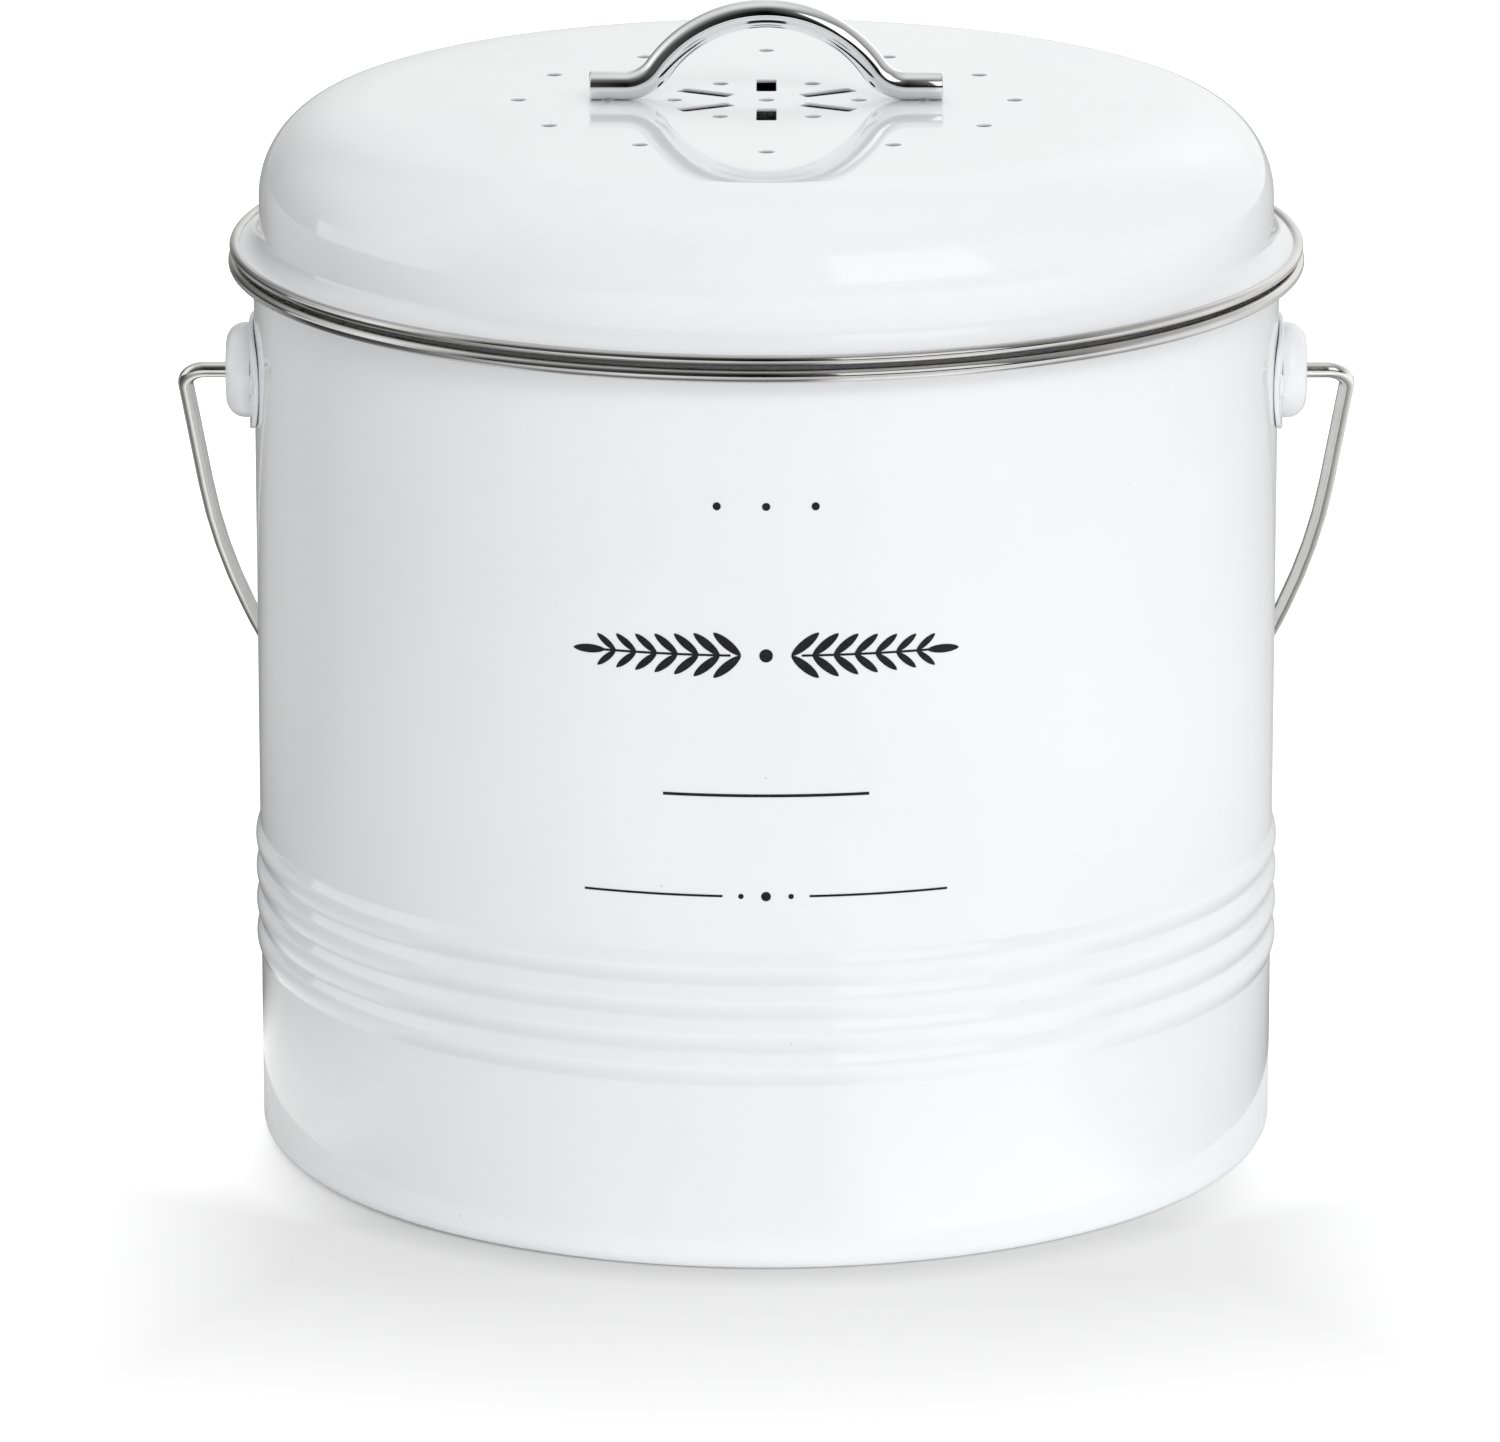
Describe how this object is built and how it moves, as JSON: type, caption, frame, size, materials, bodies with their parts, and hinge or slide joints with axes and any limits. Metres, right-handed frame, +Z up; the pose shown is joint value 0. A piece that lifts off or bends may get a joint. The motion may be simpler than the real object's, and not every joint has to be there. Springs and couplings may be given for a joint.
{
  "type": "compost caddy",
  "caption": "Round countertop compost bucket with a lift-off domed lid, vent slots, bow handle, swinging wire bail and a charcoal foam filter under the lid.",
  "frame": {"origin": "on the floor, at the axis of the bucket", "axes": "+Z up, the front of the bucket faces -Y, the two ears are at +X and -X, the bail hangs behind at +Y"},
  "size_m": [0.2248, 0.2046, 0.2206],
  "materials": {
    "enamel": "gloss white enamel on steel sheet",
    "bead_steel": "polished stainless steel",
    "handle_chrome": "bright chrome plate",
    "bail_steel": "satin stainless wire",
    "screw_steel": "plain zinc-plated steel",
    "clip_enamel": "gloss white enamel",
    "foam": "open-cell foam filled with charcoal"
  },
  "bodies": {
    "bucket": {"bucket_wall": "enamel", "base_pan": "enamel", "bucket_rim": "bead_steel", "ear_saddle_left": "enamel", "ear_saddle_right": "enamel", "ear_cap_left": "enamel", "ear_cap_right": "enamel", "ear_rivets_left": "enamel", "ear_rivets_right": "enamel"},
    "bail": {"bail": "bail_steel"},
    "lid": {"lid_shell": "enamel", "lid_rim": "bead_steel", "lid_skirt": "enamel", "lid_handle": "handle_chrome", "handle_screws": "screw_steel", "handle_washers": "screw_steel", "filter_clip_1": "clip_enamel", "filter_clip_2": "clip_enamel", "filter_clip_3": "clip_enamel", "filter_clip_4": "clip_enamel", "charcoal_filter": "foam"}
  },
  "joints": [
    {"name": "bail_swing", "type": "hinge", "parent": "bucket", "child": "bail", "pos_m": [0, 0, 0.1488], "axis": [1, 0, 0], "range_deg": [0, 282]},
    {"name": "lid_lift", "type": "slide", "parent": "bucket", "child": "lid", "axis": [0, 0, 1], "range_m": [0, 0.1]}
  ]
}
